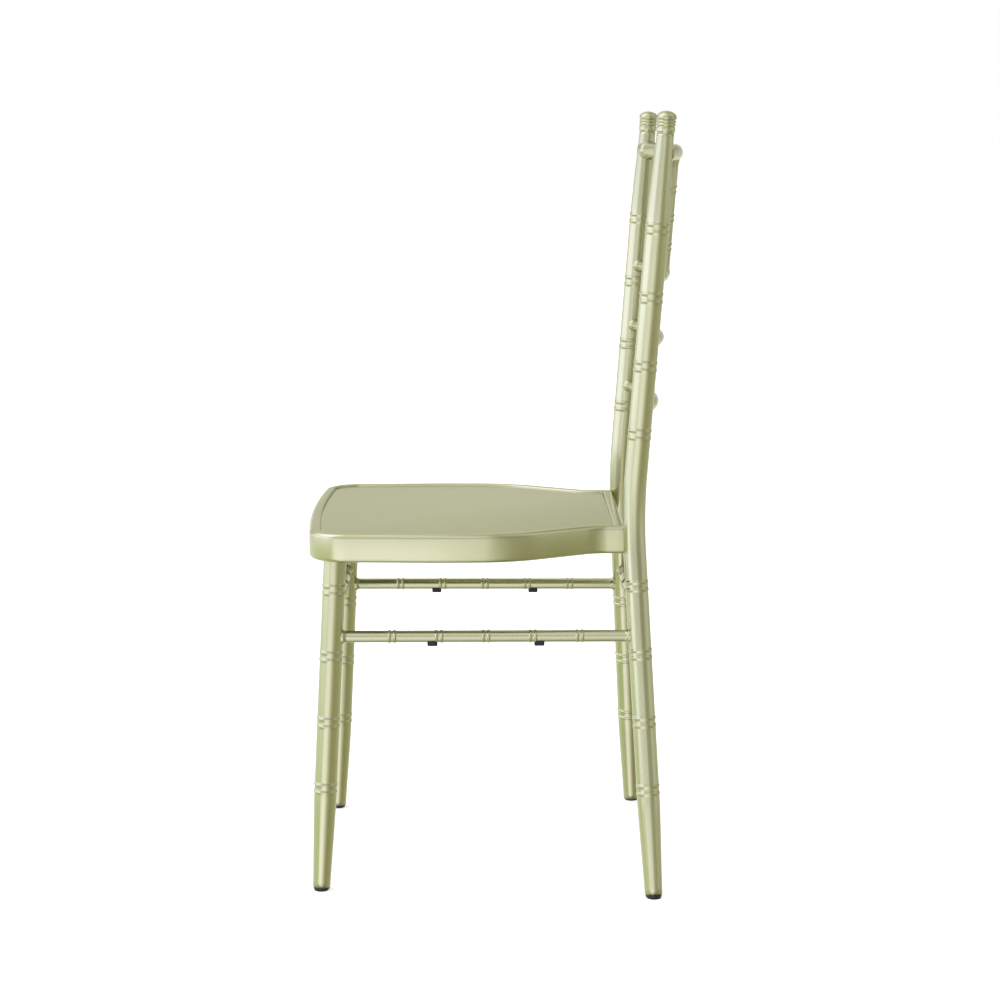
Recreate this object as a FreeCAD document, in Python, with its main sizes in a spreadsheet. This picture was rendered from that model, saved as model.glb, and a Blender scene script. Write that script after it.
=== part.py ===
import FreeCAD, Part
import Sketcher
import math
import os

# Welded metal stacking chair with turned-look tube, millimetres.
# +Z is up, the chair faces -Y, +X is the sitter's left, and the origin lies
# on the floor in the middle of the chair's outline.

Vector = FreeCAD.Vector
Placement = FreeCAD.Placement
Rotation = FreeCAD.Rotation

doc = FreeCAD.newDocument("chiavari_chair")

# Driving dimensions
DRIVING = (
    ("overall_height", 921.0, "floor to the tip of the finials"),
    ("seat_height", 435.0, "floor to the top of the seat rim"),
    ("seat_width", 406.0, "seat across the sides"),
    ("seat_depth", 380.0, "seat, front middle to rear edge"),
    ("seat_rear_width", 290.0, "seat across its narrow rear end"),
    ("seat_front_bow", 6.0, "how far the front edge swells forward"),
    ("seat_waist_start", 131.5, "rear edge to the corner where the sides turn in"),
    ("seat_waist_end", 34.5, "rear edge to the corner where they run straight again"),
    ("seat_corner_radius", 45.0, "front corners in plan"),
    ("seat_waist_radius", 130.0, "outward bend of the sides in plan"),
    ("seat_neck_radius", 49.0, "inward bend of the sides in plan"),
    ("seat_tube_width", 13.0, "seat frame tube, plan width"),
    ("seat_tube_height", 34.0, "seat frame tube, height"),
    ("seat_tube_wall", 1.5, "seat frame tube wall"),
    ("seat_edge_ease", 2.2, "bevel of the seat frame's outer edges"),
    ("vent_dia", 5.0, "vent holes under the seat frame"),
    ("vent_pitch", 110.0, "distance between the vents of one side"),
    ("panel_sink", 2.0, "seat panel below the rim"),
    ("panel_sheet", 1.5, "seat panel thickness"),
    ("corner_plate_side", 54.0, "corner plates over the front legs, along each edge"),
    ("corner_plate_sheet", 3.0, "corner plate thickness"),
    ("leg_dia", 27.0, "legs and rear posts"),
    ("leg_wall", 1.5, "wall of legs and posts"),
    ("foot_dia", 21.0, "legs and posts at the foot"),
    ("foot_taper", 105.0, "length of the taper at the foot"),
    ("post_top_dia", 20.0, "rear posts at the top"),
    ("post_top_taper", 100.0, "length of the taper at the top"),
    ("leg_inset_side", 40.0, "front leg axis inside the seat's side"),
    ("leg_inset_front", 38.1, "front leg axis behind the seat's front"),
    ("front_splay_side", 16.0, "front foot outside the leg's top"),
    ("front_splay_ahead", 21.0, "front foot ahead of the leg's top"),
    ("post_offset_side", -2.0, "post axis at the bend outside the seat's rear half width"),
    ("post_offset_rear", 8.4, "post axis at the bend behind the seat"),
    ("post_bend_above", 15.0, "post bend above the seat rim"),
    ("post_bend_radius", 450.0, "centreline radius of the post bend"),
    ("rear_splay_side", 70.0, "rear foot outside the bend"),
    ("rear_splay_back", 24.3, "rear foot behind the bend"),
    ("post_flare_side", 7.5, "post top outside the bend"),
    ("post_lean_back", 33.5, "post top behind the bend"),
    ("foot_gap", 4.5, "tube end above the floor on its axis"),
    ("glide_inset", 0.8, "glide radius under the tube's"),
    ("glide_stem", 14.0, "length of the glide's stem"),
    ("glide_fit", 0.15, "gap between stem and tube wall"),
    ("leg_ridge_height", 1.0, "turned ridges on legs and posts"),
    ("leg_ridge_width", 7.0, "one ridge of a pair on legs and posts"),
    ("leg_ridge_first", 120.7, "foot end to the first pair on a front leg"),
    ("leg_ridge_pitch", 79.6, "pair to pair on a front leg"),
    ("post_ridge_up", 95.3, "bend to the first pair above"),
    ("post_ridge_down", 86.2, "bend to the first pair below"),
    ("post_ridge_pitch", 80.5, "pair to pair on a post"),
    ("stretcher_height", 306.5, "axis of the side stretchers"),
    ("cross_height", 326.0, "axis of the front and rear stretchers"),
    ("stretcher_dia", 14.0, "all stretchers"),
    ("stretcher_wall", 1.2, "wall of the stretchers"),
    ("rod_ridge_height", 1.0, "turned ridges on stretchers and spindles"),
    ("rod_ridge_width", 5.75, "one ridge of a pair there"),
    ("side_ridge_pitch", 55.5, "pair to pair on a side stretcher"),
    ("finial_height", 26.0, "post end to the finial's tip"),
    ("finial_collar_dia", 21.6, "finial collar"),
    ("finial_collar_top", 6.2, "height of the collar"),
    ("finial_groove_dia", 18.8, "groove over the collar"),
    ("finial_groove_height", 7.2, "height of that groove"),
    ("finial_bead_dia", 22.6, "finial bead"),
    ("finial_bead_height", 10.8, "height of the bead's widest line"),
    ("finial_neck_dia", 19.4, "neck under the head"),
    ("finial_neck_height", 14.9, "height of the neck"),
    ("finial_head_dia", 22.8, "finial head"),
    ("finial_head_height", 19.0, "height of the head's widest line"),
    ("finial_crown_dia", 13.0, "flat crown of the head"),
    ("crest_dia", 20.0, "crest rail"),
    ("rail_dia", 13.0, "the three lower back rails"),
    ("rail_wall", 1.2, "wall of the back rails"),
    ("crest_drop", 23.0, "post end to the crest rail's axis"),
    ("long_bay", 146.0, "crest rail to upper rail"),
    ("middle_bay", 76.0, "upper rail to middle rail"),
    ("low_bay", 78.0, "middle rail to lower rail"),
    ("back_bow", 23.0, "how far the rails bow backward"),
    ("spindle_dia", 12.0, "back spindles"),
    ("spindle_wall", 1.2, "wall of the spindles"),
    ("spindle_pitch", 49.0, "spindle to spindle"),
    ("bumper_length", 12.0, "stacking bumper along the stretcher"),
    ("bumper_width", 11.0, "stacking bumper across"),
    ("bumper_drop", 11.0, "stretcher axis to the bumper's underside"),
    ("bumper_round", 2.0, "rounding of the bumper's lower edges"),
    ("bumper_reach", 63.3, "stretcher middle to a bumper"),
)
SPINDLE_COUNT = 5
STRETCHER_RIDGES = 5
LEG_RIDGES = 4
RAIL_CHORDS = 7
SIDES = (("left", 1), ("right", -1))

sheet = doc.addObject("Spreadsheet::Sheet", "Sizes")
row = 0


def add_size(alias, value, meaning):
    """Put one named number in the sheet."""
    global row
    row += 1
    sheet.set("A%d" % row, meaning)
    sheet.set("B%d" % row, "%.9f" % value)
    sheet.setAlias("B%d" % row, alias)


for entry in DRIVING:
    add_size(*entry)
doc.recompute()
size = {alias: float(sheet.get(alias)) for alias, value, meaning in DRIVING}


def derive(alias, value, meaning):
    """Add a number that follows from the driving ones."""
    add_size(alias, value, meaning)
    size[alias] = value


def mirrored(point, side):
    """The point itself on the left (side 1), its mirror image on the right (side -1)."""
    return Vector(point.x * side, point.y, point.z)


def at_height(low, high, height):
    """Point of the line low-high at the given height."""
    share = (height - low.z) / (high.z - low.z)
    return low + (high - low) * share


def along(start, end):
    """Placement whose local Z runs from start to end."""
    return Placement(start, Rotation(Vector(0, 0, 1), end - start))


# Heights, and the origin midway between the seat's front and the crest rail's belly
post_end_height = size["overall_height"] - size["finial_height"]
bend_height = size["seat_height"] + size["post_bend_above"]
crest_height = post_end_height - size["crest_drop"]
rail_heights = {"crest_rail": crest_height}
rail_heights["back_rail_upper"] = crest_height - size["long_bay"]
rail_heights["back_rail_middle"] = rail_heights["back_rail_upper"] - size["middle_bay"]
rail_heights["back_rail_lower"] = rail_heights["back_rail_middle"] - size["low_bay"]
crest_lean = size["post_lean_back"] * (crest_height - bend_height) / (post_end_height - bend_height)
seat_front = (size["seat_depth"] + size["post_offset_rear"] + crest_lean
              + size["back_bow"] + size["crest_dia"] / 2) / 2
derive("seat_front", seat_front, "origin to the seat's front middle")
derive("seat_rear", size["seat_depth"] - seat_front, "origin to the seat's rear edge")

# Axes of the legs and posts, left side; the right side mirrors them in X
panel_bottom = size["seat_height"] - size["panel_sink"] - size["panel_sheet"]
leg_top = Vector(size["seat_width"] / 2 - size["leg_inset_side"],
                 size["leg_inset_front"] - seat_front,
                 panel_bottom - size["corner_plate_sheet"])
leg_foot = Vector(leg_top.x + size["front_splay_side"], leg_top.y - size["front_splay_ahead"], 0)
post_bend = Vector(size["seat_rear_width"] / 2 + size["post_offset_side"],
                   size["seat_rear"] + size["post_offset_rear"],
                   bend_height)
post_foot = Vector(post_bend.x + size["rear_splay_side"], post_bend.y + size["rear_splay_back"], 0)
post_end = Vector(post_bend.x + size["post_flare_side"],
                  post_bend.y + size["post_lean_back"],
                  post_end_height)

# Lengths that follow from those axes
leg_axis = (leg_top - leg_foot).normalize()
leg_start = leg_foot + leg_axis * (size["foot_gap"] / leg_axis.z)
post_down = (post_foot - post_bend).normalize()
post_up = (post_end - post_bend).normalize()
post_angle = math.degrees(post_down.getAngle(-post_up))
derive("leg_length", (leg_top - leg_start).Length + size["leg_dia"], "front leg before its top is trimmed")
derive("post_angle", post_angle, "turn of the post at its bend, degrees")
derive("post_tangent", size["post_bend_radius"] * math.tan(math.radians(post_angle / 2)),
       "bend corner to the start of the arc")
derive("post_upper", (post_end - post_bend).Length, "bend corner to the post's top end")
derive("post_lower", (post_foot - post_bend).Length + size["foot_gap"] / post_down.z,
       "bend corner to the post's foot end")
seat_half = size["seat_width"] / 2
front_half = seat_half - size["seat_corner_radius"]
derive("slant_angle", math.degrees(math.atan2(size["seat_width"] / 2 - size["seat_rear_width"] / 2,
                                              size["seat_waist_start"] - size["seat_waist_end"])),
       "turn of the seat's sides where they draw in, degrees")
derive("front_edge_radius", (front_half ** 2 + size["seat_front_bow"] ** 2) / 2 / size["seat_front_bow"],
       "plan radius of the seat's front edge")

# Back rails: each an arc in a level plane from post axis to post axis
rails = {}
for label, height in rail_heights.items():
    on_post = at_height(post_bend, post_end, height)
    bow_radius = (on_post.x ** 2 + size["back_bow"] ** 2) / 2 / size["back_bow"]
    derive(label + "_bow", bow_radius, "plan radius of the " + label.replace("_", " "))
    derive(label + "_turn", 2 * math.degrees(math.asin(on_post.x / bow_radius)),
           "angle of arc of the " + label.replace("_", " "))
    rails[label] = Vector(0, on_post.y + size["back_bow"] - bow_radius, height)
# Stretchers between leg axes, spindles between rail axes
def between(low, high, height):
    """The two ends of a cross stretcher at a height."""
    point = at_height(low, high, height)
    return point, mirrored(point, -1)


stretchers = {
    "front_stretcher": between(leg_foot, leg_top, size["cross_height"]),
    "rear_stretcher": between(post_foot, post_bend, size["cross_height"]),
}
for side_name, side in SIDES:
    stretchers["side_stretcher_" + side_name] = (
        mirrored(at_height(leg_foot, leg_top, size["stretcher_height"]), side),
        mirrored(at_height(post_foot, post_bend, size["stretcher_height"]), side),
    )
for label, (start, end) in stretchers.items():
    derive(label + "_run", (end - start).Length, label.replace("_", " ") + " between the axes")


def on_rail(label, across):
    """Point of a rail's line of chords at a distance from the middle plane."""
    bow = size[label + "_bow"]
    bends = [math.radians(size[label + "_turn"]) * (step / RAIL_CHORDS - 0.5)
             for step in range(RAIL_CHORDS + 1)]
    corners = [Vector(bow * math.sin(bend), bow * math.cos(bend), 0) for bend in bends]
    for start, end in zip(corners, corners[1:]):
        if start.x <= across <= end.x:
            return rails[label] + start + (end - start) * ((across - start.x) / (end.x - start.x))
    raise ValueError("%s is shorter than %s" % (label, across))


spindles = {}
for number in range(SPINDLE_COUNT):
    across = (number - (SPINDLE_COUNT - 1) / 2) * size["spindle_pitch"]
    label = "back_spindle_%d" % (number + 1)
    spindles[label] = [on_rail(rail, across) for rail in ("back_rail_upper", "crest_rail")]
    derive(label + "_run", (spindles[label][1] - spindles[label][0]).Length,
           label.replace("_", " ") + " between the rail axes")
doc.recompute()


def new_body(label):
    """A body whose label names its file."""
    body = doc.addObject("PartDesign::Body", label)
    body.Label = label
    return body


def new_sketch(body, role, name, spin=0.0):
    """A sketch on one of the body's own origin planes, spun about the plane's normal."""
    sketch = body.newObject("Sketcher::SketchObject", name)
    plane = [item for item in body.Origin.OriginFeatures if item.Role == role][0]
    sketch.AttachmentSupport = [(plane, "")]
    sketch.MapMode = "FlatFace"
    sketch.AttachmentOffset = Placement(Vector(), Rotation(Vector(0, 0, 1), spin))
    return sketch


def value_of(expression):
    """Number that an expression of the sheet's sizes gives."""
    result = sheet.evalExpression(expression)
    return float(getattr(result, "Value", result))


def fix(sketch, constraint, expression):
    """Add a dimension and bind it to an expression."""
    index = sketch.addConstraint(constraint)
    sketch.setExpression("Constraints[%d]" % index, expression)


def pin(sketch, geometry, point, across, upward):
    """Fix one point of a sketch at two expressions of the sheet's sizes."""
    for kind, axis, expression in (("DistanceX", -2, across), ("DistanceY", -1, upward)):
        if expression == "0":
            sketch.addConstraint(Sketcher.Constraint("PointOnObject", geometry, point, axis))
        else:
            number = value_of(expression)
            fix(sketch, Sketcher.Constraint(kind, -1, 1, geometry, point, number), expression)


def plan_arc(start, end, radius, turn_sign):
    """Arc from start to end, turning left (1) or right (-1), and which of its ends is the start."""
    chord = end - start
    rise = math.sqrt(radius ** 2 - chord.Length ** 2 / 4)
    left = Vector(-chord.y, chord.x, 0).normalize()
    centre = (start + end) * 0.5 + left * rise * turn_sign
    first, last = (start, end) if turn_sign > 0 else (end, start)
    low = math.atan2(first.y - centre.y, first.x - centre.x)
    high = math.atan2(last.y - centre.y, last.x - centre.x)
    if high < low:
        high += 2 * math.pi
    circle = Part.Circle(centre, Vector(0, 0, 1), radius)
    return Part.ArcOfCircle(circle, low, high), (1 if turn_sign > 0 else 2)


def closed_outline(sketch, corners):
    """Outline through corners (x, y) or (x, y, radius, turn) for an arc to the next corner."""
    points = [Vector(value_of(corner[0]), value_of(corner[1]), 0) for corner in corners]
    count = len(points)
    begins = []
    for index, corner in enumerate(corners):
        start, end = points[index], points[(index + 1) % count]
        if len(corner) == 2:
            sketch.addGeometry(Part.LineSegment(start, end), False)
            begins.append(1)
        else:
            arc, begin = plan_arc(start, end, value_of(corner[2]), corner[3])
            sketch.addGeometry(arc, False)
            begins.append(begin)
    for index in range(count):
        follower = (index + 1) % count
        sketch.addConstraint(Sketcher.Constraint(
            "Coincident", index, 3 - begins[index], follower, begins[follower]))
    for index, corner in enumerate(corners):
        pin(sketch, index, begins[index], corner[0], corner[1])
        if len(corner) > 2:
            fix(sketch, Sketcher.Constraint("Radius", index, value_of(corner[2])), corner[2])


def turn(body, sketch, axis, name, angle=None):
    """Revolve a sketch of the body about one of the sketch's lines."""
    feature = body.newObject("PartDesign::Revolution", name)
    feature.Profile = sketch
    feature.ReferenceAxis = (sketch, [axis])
    feature.Angle = 360.0
    if angle is not None:
        feature.setExpression("Angle", angle)
    body.Tip = feature
    return feature


def turned(body, name, stations, wall=None, spin=0.0):
    """Turned tube or bar: stations are (radius, height) expressions from one end to the other."""
    sketch = new_sketch(body, "XZ_Plane", name + "_profile", spin)
    if wall is None:
        inner = [("0", stations[-1][1]), ("0", stations[0][1])]
    else:
        inner = [("%s - %s" % (radius, wall), height) for radius, height in reversed(stations)]
    closed_outline(sketch, list(stations) + inner)
    return turn(body, sketch, "V_Axis", name)


def ridge_pairs(body, name, radius, first, width, height, wall, pitch, count, spin=0.0):
    """Pairs of turned ridges around a tube, repeated along its axis."""
    sketch = new_sketch(body, "XZ_Plane", name + "_profile", spin)
    root = "%s - %s / 2" % (radius, wall)
    ridge = "%s + %s" % (radius, height)
    closed_outline(sketch, (
        (root, "%s - %s" % (first, width)),
        (radius, "%s - %s" % (first, width)),
        (ridge, "%s - %s / 2" % (first, width)),
        (radius, first),
        (ridge, "%s + %s / 2" % (first, width)),
        (radius, "%s + %s" % (first, width)),
        (root, "%s + %s" % (first, width)),
    ))
    pair = turn(body, sketch, "V_Axis", name)
    pattern = body.newObject("PartDesign::LinearPattern", name + "_row")
    pattern.Originals = [pair]
    pattern.Direction = (sketch, ["V_Axis"])
    pattern.Occurrences = count
    pattern.setExpression("Length", "%s * %d" % (pitch, count - 1))
    body.Tip = pattern
    return pattern


def ring_sketch(body, role, name, radii, across, upward):
    """Circles about one point of an origin plane."""
    sketch = new_sketch(body, role, name)
    centre = Vector(value_of(across), value_of(upward), 0)
    for geometry, radius in enumerate(radii):
        sketch.addGeometry(Part.Circle(centre, Vector(0, 0, 1), value_of(radius)), False)
        fix(sketch, Sketcher.Constraint("Radius", geometry, value_of(radius)), radius)
        pin(sketch, geometry, 3, across, upward)
    return sketch


def moved(item, placement):
    """The object, put at its placement."""
    item.Placement = placement
    return item


def cylinder(name, radius, height, placement):
    """Round bar bound to the sheet's sizes."""
    item = doc.addObject("Part::Cylinder", name)
    item.setExpression("Radius", radius)
    item.setExpression("Height", height)
    return moved(item, placement)


def box(name, length, width, height, corner):
    """Block bound to the sheet's sizes, from its lowest corner."""
    item = doc.addObject("Part::Box", name)
    item.setExpression("Length", length)
    item.setExpression("Width", width)
    item.setExpression("Height", height)
    return moved(item, Placement(corner, Rotation()))


nodes = []


def keep(item, label):
    """Make the object a sub-part of that label."""
    item.Label = label
    nodes.append(item)
    return item


def cut_away(label, base, tools):
    """The base without the tools."""
    tool = tools[0]
    if len(tools) > 1:
        tool = doc.addObject("Part::MultiFuse", label + "_cutter")
        tool.Shapes = tools
    cut = doc.addObject("Part::Cut", label)
    cut.Base = base
    cut.Tool = tool
    return cut


LEG = "Sizes.leg_dia / 2"
FOOT = "Sizes.foot_dia / 2"
POST_TOP = "Sizes.post_top_dia / 2"
ROD = "Sizes.stretcher_dia / 2"
RAIL = "Sizes.rail_dia / 2"
SPINDLE = "Sizes.spindle_dia / 2"

# Front legs: straight tubes with a tapered foot, trimmed level under the corner plates
leg_trim = box("leg_trim", "Sizes.seat_width * 2", "Sizes.seat_width * 2", "Sizes.leg_dia * 3",
               Vector(-size["seat_width"], leg_top.y - size["seat_width"], leg_top.z))
leg_spaces = {}
for side_name, side in SIDES:
    place = along(mirrored(leg_start, side), mirrored(leg_top, side))
    body = new_body("leg_tube_" + side_name)
    turned(body, "leg_tube", (
        (FOOT, "0"),
        (LEG, "Sizes.foot_taper"),
        (LEG, "Sizes.leg_length"),
    ), "Sizes.leg_wall")
    ridge_pairs(body, "leg_ridges", LEG, "Sizes.leg_ridge_first", "Sizes.leg_ridge_width",
                "Sizes.leg_ridge_height", "Sizes.leg_wall", "Sizes.leg_ridge_pitch", LEG_RIDGES)
    moved(body, place)
    keep(cut_away("front_leg_" + side_name, body, [leg_trim]), "front_leg_" + side_name)
    leg_spaces[side] = cylinder("leg_space_" + side_name, LEG, "Sizes.leg_length", place)


def post_runs(body, wall):
    """Upper run, bend and lower run of a rear post, hollow, or solid without a wall."""
    turned(body, "upper_tube", (
        (LEG, "Sizes.post_tangent"),
        (LEG, "Sizes.post_upper - Sizes.post_top_taper"),
        (POST_TOP, "Sizes.post_upper"),
    ), wall)
    radii = [LEG] if wall is None else [LEG, "%s - %s" % (LEG, wall)]
    ring = ring_sketch(body, "XY_Plane", "bend_profile", radii, "0", "0")
    ring.setExpression("AttachmentOffset.Base.z", "Sizes.post_tangent")
    reach = size["post_bend_radius"]
    axis = len(radii)
    ring.addGeometry(Part.LineSegment(Vector(reach, reach, 0), Vector(reach, 0, 0)), True)
    pin(ring, axis, 1, "Sizes.post_bend_radius", "Sizes.post_bend_radius")
    pin(ring, axis, 2, "Sizes.post_bend_radius", "0")
    turn(body, ring, "Axis0", "bend_tube", "Sizes.post_angle")
    turned(body, "lower_tube", (
        (LEG, "Sizes.post_tangent"),
        (LEG, "Sizes.post_lower - Sizes.foot_taper"),
        (FOOT, "Sizes.post_lower"),
    ), wall, 180.0 + post_angle)


# Rear posts: one bend at seat level, tapered at the finial and at the foot.
# Local Z is the upper run's axis, and the bend turns towards local +X.
post_spaces = {}
for side_name, side in SIDES:
    upward = mirrored(post_up, side)
    downward = mirrored(post_down, side)
    outward = (downward - upward * downward.dot(upward)).normalize()
    place = Placement(mirrored(post_bend, side), Rotation(outward, Vector(), upward, "ZXY"))
    body = new_body("rear_post_" + side_name)
    post_runs(body, "Sizes.leg_wall")
    ridge_pairs(body, "upper_ridges", LEG, "Sizes.post_ridge_up", "Sizes.leg_ridge_width",
                "Sizes.leg_ridge_height", "Sizes.leg_wall", "Sizes.post_ridge_pitch", LEG_RIDGES)
    ridge_pairs(body, "lower_ridges", LEG, "Sizes.post_ridge_down", "Sizes.leg_ridge_width",
                "Sizes.leg_ridge_height", "Sizes.leg_wall", "Sizes.post_ridge_pitch", LEG_RIDGES,
                180.0 + post_angle)
    keep(moved(body, place), "rear_post_" + side_name)
    space = new_body("post_space_" + side_name)
    post_runs(space, None)
    post_spaces[side] = moved(space, place)

# Finials: turned collar, bead and head, welded on the post's end
COLLAR = "Sizes.finial_collar_dia / 2"
GROOVE = "Sizes.finial_groove_dia / 2"
BEAD = "Sizes.finial_bead_dia / 2"
NECK = "Sizes.finial_neck_dia / 2"
HEAD = "Sizes.finial_head_dia / 2"
CROWN = "Sizes.finial_crown_dia / 2"
for side_name, side in SIDES:
    body = new_body("post_finial_" + side_name)
    sketch = new_sketch(body, "XZ_Plane", "finial_profile")
    closed_outline(sketch, (
        ("0", "0"),
        (COLLAR, "0"),
        (COLLAR, "Sizes.finial_collar_top"),
        (GROOVE, "Sizes.finial_groove_height"),
        (BEAD, "Sizes.finial_bead_height"),
        (NECK, "Sizes.finial_neck_height"),
        (HEAD, "Sizes.finial_head_height"),
        (CROWN, "Sizes.finial_height"),
        ("0", "Sizes.finial_height"),
    ))
    turn(body, sketch, "V_Axis", "finial")
    keep(moved(body, along(mirrored(post_end, side), mirrored(post_end + post_up, side))),
         "post_finial_" + side_name)

# Foot glides: plastic plugs, flat on the floor
GLIDE = FOOT + " - Sizes.glide_inset"
floor = box("below_floor", "Sizes.seat_width * 2", "Sizes.seat_width * 3", "Sizes.foot_gap * 8",
            Vector(-size["seat_width"], -1.5 * size["seat_width"], -8 * size["foot_gap"]))
for end_name, foot_end, upper_point in (
    ("front", leg_start, leg_top),
    ("rear", post_foot - post_down * (size["foot_gap"] / -post_down.z), post_bend),
):
    for side_name, side in SIDES:
        label = "foot_glide_%s_%s" % (end_name, side_name)
        body = new_body("glide_plug_%s_%s" % (end_name, side_name))
        turned(body, "glide", (
            (GLIDE, "-Sizes.foot_gap * 2"),
            (GLIDE, "0"),
            (FOOT + " - Sizes.leg_wall - Sizes.glide_fit", "0"),
            (FOOT + " - Sizes.leg_wall - Sizes.glide_fit", "Sizes.glide_stem"),
        ))
        moved(body, along(mirrored(foot_end, side), mirrored(upper_point, side)))
        keep(cut_away(label, body, [floor]), label)

# Stretchers: straight tubes, ends coped to the legs and posts, the side ones with ridge pairs.
# Local Z runs along a stretcher and local Y is nearly up.
stretcher_tubes = {}
for label, (start, end) in stretchers.items():
    run = "Sizes.%s_run" % label
    body = new_body(label + "_tube")
    turned(body, "rod", ((ROD, "0"), (ROD, run)), "Sizes.stretcher_wall")
    if label.startswith("side"):
        first = "%s / 2 - Sizes.side_ridge_pitch * %d" % (run, STRETCHER_RIDGES // 2)
        ridge_pairs(body, "rod_ridges", ROD, first, "Sizes.rod_ridge_width", "Sizes.rod_ridge_height",
                    "Sizes.stretcher_wall", "Sizes.side_ridge_pitch", STRETCHER_RIDGES)
    place = Placement(start, Rotation(Vector(), Vector(0, 0, 1), end - start, "ZYX"))
    stretcher_tubes[label] = moved(body, place)
keep(cut_away("front_stretcher", stretcher_tubes["front_stretcher"], [leg_spaces[1], leg_spaces[-1]]),
     "front_stretcher")
keep(cut_away("rear_stretcher", stretcher_tubes["rear_stretcher"], [post_spaces[1], post_spaces[-1]]),
     "rear_stretcher")

# Stacking bumpers: rubber saddles under the side stretchers
HALF_BUMPER = "Sizes.bumper_width / 2"
BUMPER_LOW = "-Sizes.bumper_drop"
BUMPER_TOP = "-Sizes.stretcher_dia * 0.3"
for side_name, side in SIDES:
    label = "side_stretcher_" + side_name
    tube = stretcher_tubes[label]
    rod_space = cylinder("rod_space_" + side_name, ROD, "Sizes.%s_run" % label, tube.Placement)
    for end_name, way in (("front", -1), ("rear", 1)):
        bumper_label = "stacking_bumper_%s_%s" % (end_name, side_name)
        middle = size[label + "_run"] / 2 + way * size["bumper_reach"]
        seat_place = tube.Placement.multiply(Placement(Vector(0, 0, middle), Rotation()))
        body = new_body("bumper_block_%s_%s" % (end_name, side_name))
        sketch = new_sketch(body, "XY_Plane", "bumper_profile")
        closed_outline(sketch, (
            ("-%s + Sizes.bumper_round" % HALF_BUMPER, BUMPER_LOW),
            ("%s - Sizes.bumper_round" % HALF_BUMPER, BUMPER_LOW, "Sizes.bumper_round", 1),
            (HALF_BUMPER, BUMPER_LOW + " + Sizes.bumper_round"),
            (HALF_BUMPER, BUMPER_TOP),
            ("-" + HALF_BUMPER, BUMPER_TOP),
            ("-" + HALF_BUMPER, BUMPER_LOW + " + Sizes.bumper_round", "Sizes.bumper_round", 1),
        ))
        pad = body.newObject("PartDesign::Pad", "bumper_block")
        pad.Profile = sketch
        pad.Midplane = True
        pad.setExpression("Length", "Sizes.bumper_length")
        body.Tip = pad
        moved(body, seat_place)
        keep(cut_away(bumper_label, body, [rod_space, tube]), bumper_label)
    keep(cut_away(label, tube, [leg_spaces[side], post_spaces[side]]), label)


def rail_bar(label, name, radius):
    """Solid bar along the chords of a rail's arc, mitred in the radial planes between them."""
    bow = size[label + "_bow"]
    step_angle = size[label + "_turn"] / RAIL_CHORDS
    reach = value_of(radius)
    pieces = []
    for step in range(RAIL_CHORDS):
        first = 90 + size[label + "_turn"] / 2 - step_angle * step
        ends = [rails[label] + Vector(math.cos(math.radians(bend)), math.sin(math.radians(bend)), 0) * bow
                for bend in (first, first - step_angle)]
        run = (ends[1] - ends[0]).normalize()
        bar = cylinder("%s_bar_%d" % (name, step + 1), radius,
                       "2 * Sizes.%s_bow * sin(Sizes.%s_turn / %d * 1deg) + 2 * %s"
                       % (label, label, 2 * RAIL_CHORDS, radius), along(ends[0] - run * reach, ends[1]))
        sector = cylinder("%s_sector_%d" % (name, step + 1), "Sizes.%s_bow * 1.5" % label, "4 * " + radius,
                          Placement(rails[label] - Vector(0, 0, 2 * reach),
                                    Rotation(Vector(0, 0, 1), first - step_angle)))
        sector.setExpression("Angle", "Sizes.%s_turn / %d" % (label, RAIL_CHORDS))
        piece = doc.addObject("Part::Common", "%s_chord_%d" % (name, step + 1))
        piece.Base = bar
        piece.Tool = sector
        pieces.append(piece)
    bar = doc.addObject("Part::MultiFuse", name)
    bar.Shapes = pieces
    return bar


# Back rails: tubes bowed in seven chords, ends coped to the posts
rail_spaces = {}
for label in rails:
    radius = "Sizes.crest_dia / 2" if label == "crest_rail" else RAIL
    rail_spaces[label] = rail_bar(label, label + "_space", radius)
    rail_bore = rail_bar(label, label + "_bore", "(%s - Sizes.rail_wall)" % radius)
    keep(cut_away(label, rail_spaces[label], [rail_bore, post_spaces[1], post_spaces[-1]]), label)

# Back spindles: tubes between the crest rail and the upper rail
for label, (low, high) in spindles.items():
    body = new_body(label + "_tube")
    turned(body, "spindle", ((SPINDLE, "0"), (SPINDLE, "Sizes.%s_run" % label)), "Sizes.spindle_wall")
    moved(body, along(low, high))
    keep(cut_away(label, body, [rail_spaces["back_rail_upper"], rail_spaces["crest_rail"]]), label)


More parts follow.
